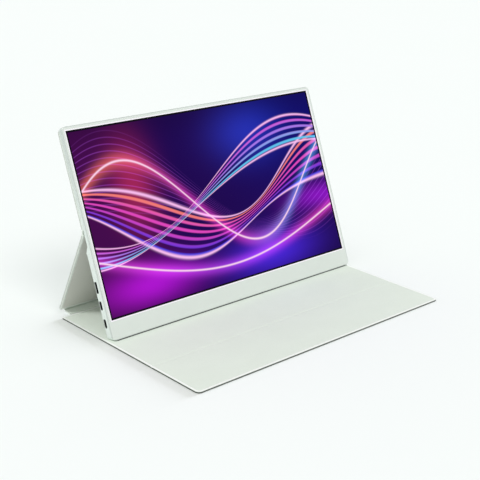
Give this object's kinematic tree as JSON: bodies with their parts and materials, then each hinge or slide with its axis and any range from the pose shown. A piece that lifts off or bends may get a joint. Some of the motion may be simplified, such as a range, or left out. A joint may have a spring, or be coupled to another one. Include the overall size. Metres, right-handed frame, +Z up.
{
  "type": "portable monitor",
  "caption": "Slim portable monitor leaning back on its folding folio cover: flat front flap, spine, rear strut and back panel, with side sockets and buttons",
  "frame": {"origin": "middle of the footprint at desk level", "axes": "+X to the viewer's right along the screen, +Y away from the viewer, +Z up"},
  "size_m": [0.3603, 0.2348, 0.2074],
  "materials": {
    "case_white": "satin white moulded plastic",
    "button_plastic": "satin white moulded plastic",
    "black_strip": "printed black border",
    "screen_glass": "glossy display glass",
    "optical_film": "smooth translucent film",
    "circuit_board": "solder resist over glass fibre",
    "sheet_steel": "thin plated sheet",
    "foam_tape": "double sided foam tape",
    "amber_film": "polyimide film",
    "chip_plastic": "moulded black",
    "socket_steel": "drawn steel shell",
    "clear_plastic": "clear light pipe",
    "ribbon_plastic": "flat cable",
    "screw_steel": "plated",
    "magnet_steel": "nickel plated",
    "cover_skin": "fine grained coated fabric",
    "cover_lining": "soft napped lining",
    "fibre_board": "pressed fibre board"
  },
  "bodies": {
    "flap_rear": {"flap_rear_skin": "cover_skin", "flap_rear_board": "fibre_board", "flap_rear_lining": "cover_lining", "foot_magnets": "magnet_steel"},
    "flap_front": {"flap_front_skin": "cover_skin", "flap_front_board": "fibre_board", "flap_front_lining": "cover_lining", "closing_magnets": "magnet_steel"},
    "spine": {"spine_skin": "cover_skin", "spine_board": "fibre_board", "spine_lining": "cover_lining"},
    "strut": {"strut_skin": "cover_skin", "strut_board": "fibre_board", "strut_lining": "cover_lining", "strut_magnets": "magnet_steel"},
    "monitor": {"front_bezel": "case_white", "bezel_gasket": "black_strip", "lcd_cell": "screen_glass", "prism_film": "optical_film", "diffuser_film": "optical_film", "light_guide": "optical_film", "reflector_sheet": "optical_film", "led_strip": "circuit_board", "panel_tray": "sheet_steel", "panel_tapes": "foam_tape", "timing_board": "circuit_board", "source_flexes": "amber_film", "rear_case": "case_white", "driver_board": "circuit_board", "board_chips": "chip_plastic", "board_shield": "sheet_steel", "mini_hdmi_socket": "socket_steel", "usb_c_socket_upper": "socket_steel", "usb_c_socket_lower": "socket_steel", "audio_jack": "chip_plastic", "status_light_pipe": "clear_plastic", "button_board": "circuit_board", "tact_switches": "chip_plastic", "speaker_left": "chip_plastic", "speaker_right": "chip_plastic", "display_ribbon": "ribbon_plastic", "button_ribbon": "ribbon_plastic", "case_screws": "screw_steel", "board_screws": "screw_steel", "back_magnets": "magnet_steel", "back_panel_skin": "cover_skin", "back_panel_board": "fibre_board", "back_panel_lining": "cover_lining", "grip_plates": "sheet_steel"},
    "power_button": {"power_button": "button_plastic"},
    "menu_rocker": {"menu_rocker": "button_plastic"}
  },
  "joints": [
    {"name": "flap_crease", "type": "hinge", "parent": "flap_rear", "child": "flap_front", "pos_m": [-0.0009, -0.04786, 0.00055], "axis": [-1, 0, 0], "range_deg": [0, 125]},
    {"name": "flap_spine_fold", "type": "hinge", "parent": "flap_rear", "child": "spine", "pos_m": [-0.0009, 0.10364, 0.00055], "axis": [-1, 0, 0], "range_deg": [0, 12.5]},
    {"name": "spine_strut_fold", "type": "hinge", "parent": "spine", "child": "strut", "pos_m": [-0.0009, 0.11682, 0.00347], "axis": [-1, 0, 0], "range_deg": [0, 96]},
    {"name": "strut_panel_fold", "type": "hinge", "parent": "strut", "child": "monitor", "pos_m": [-0.0009, 0.06964, 0.10518], "axis": [1, 0, 0], "range_deg": [0, 35]},
    {"name": "power_press", "type": "slide", "parent": "monitor", "child": "power_button", "axis": [-1, 0, 0], "range_m": [0, 0.0005], "stiffness_N_per_m": 600},
    {"name": "menu_rock", "type": "hinge", "parent": "monitor", "child": "menu_rocker", "pos_m": [0.1773, 0.04706, 0.05446], "axis": [0, 0.9239, -0.3827], "range_deg": [-4, 4], "stiffness_Nm_per_rad": 0.02}
  ],
  "couplings": [
    {"joint": "flap_spine_fold", "follows": "spine_strut_fold", "ratio": 0.13021},
    {"joint": "strut_panel_fold", "follows": "spine_strut_fold", "ratio": 0.36458}
  ]
}
